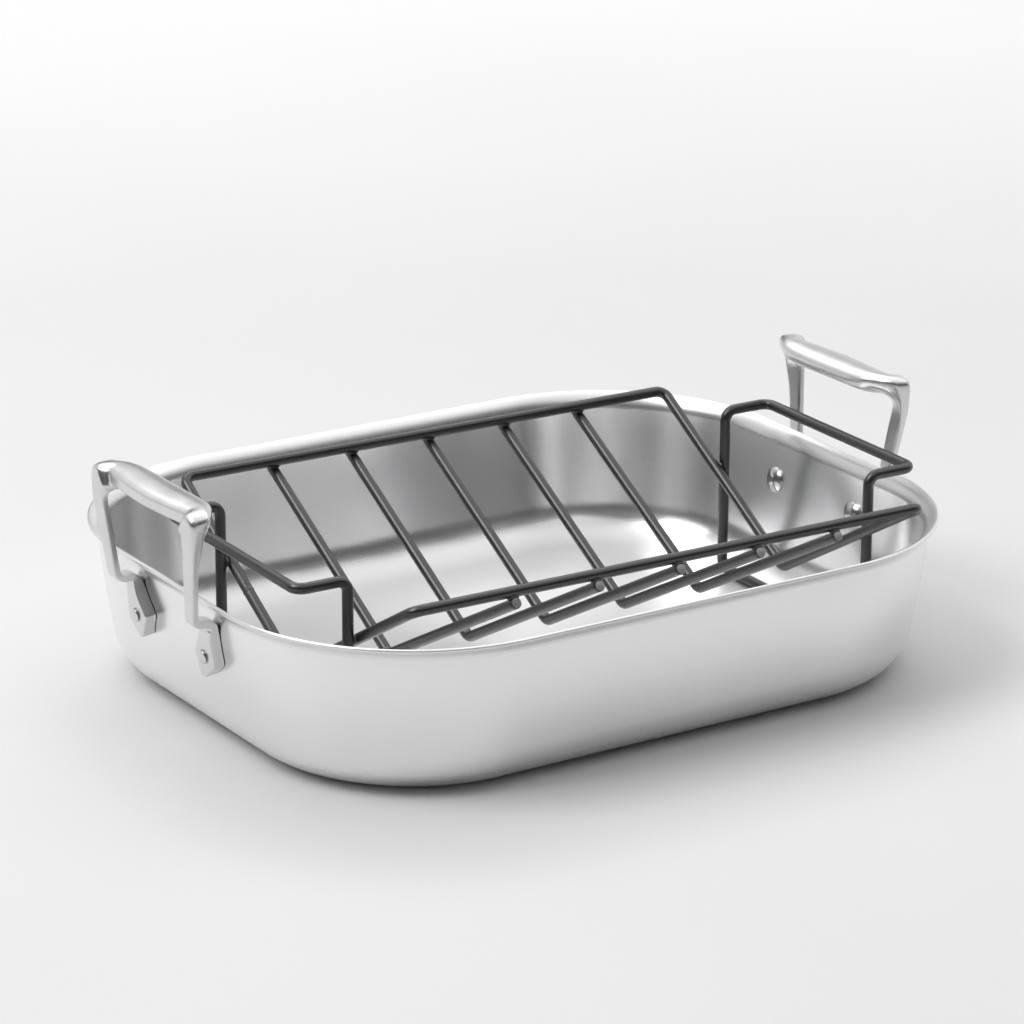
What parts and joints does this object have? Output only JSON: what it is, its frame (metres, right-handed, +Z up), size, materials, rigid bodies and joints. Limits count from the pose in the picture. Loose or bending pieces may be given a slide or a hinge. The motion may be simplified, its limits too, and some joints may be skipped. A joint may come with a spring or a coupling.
{
  "type": "roasting pan with rack",
  "caption": "Steel roasting pan with riveted loop handles and a loose, dark coated wire V rack that lifts out of it.",
  "frame": {"origin": "middle of the pan's underside, on the surface it stands on", "axes": "+X along the pan towards the right handle, +Y to the back of the pan, +Z up"},
  "size_m": [0.4594, 0.347, 0.1395],
  "materials": {
    "pan_steel": "satin brushed sheet",
    "handle_steel": "satin casting",
    "rivet_steel": "polished",
    "rack_coating": "semi-gloss dark coating"
  },
  "bodies": {
    "pan": {"pan_body": "pan_steel", "handle_left": "handle_steel", "handle_right": "handle_steel", "rivet_left_front": "rivet_steel", "rivet_left_back": "rivet_steel", "rivet_right_front": "rivet_steel", "rivet_right_back": "rivet_steel"},
    "rack": {"rack_frame": "rack_coating", "rack_rod_1": "rack_coating", "rack_rod_2": "rack_coating", "rack_rod_3": "rack_coating", "rack_rod_4": "rack_coating", "rack_rod_5": "rack_coating", "rack_stand_left": "rack_coating", "rack_stand_right": "rack_coating"}
  },
  "joints": [
    {"name": "rack_lift", "type": "slide", "parent": "pan", "child": "rack", "axis": [-0.2588, 0, 0.9659], "range_m": [0, 0.16]}
  ]
}
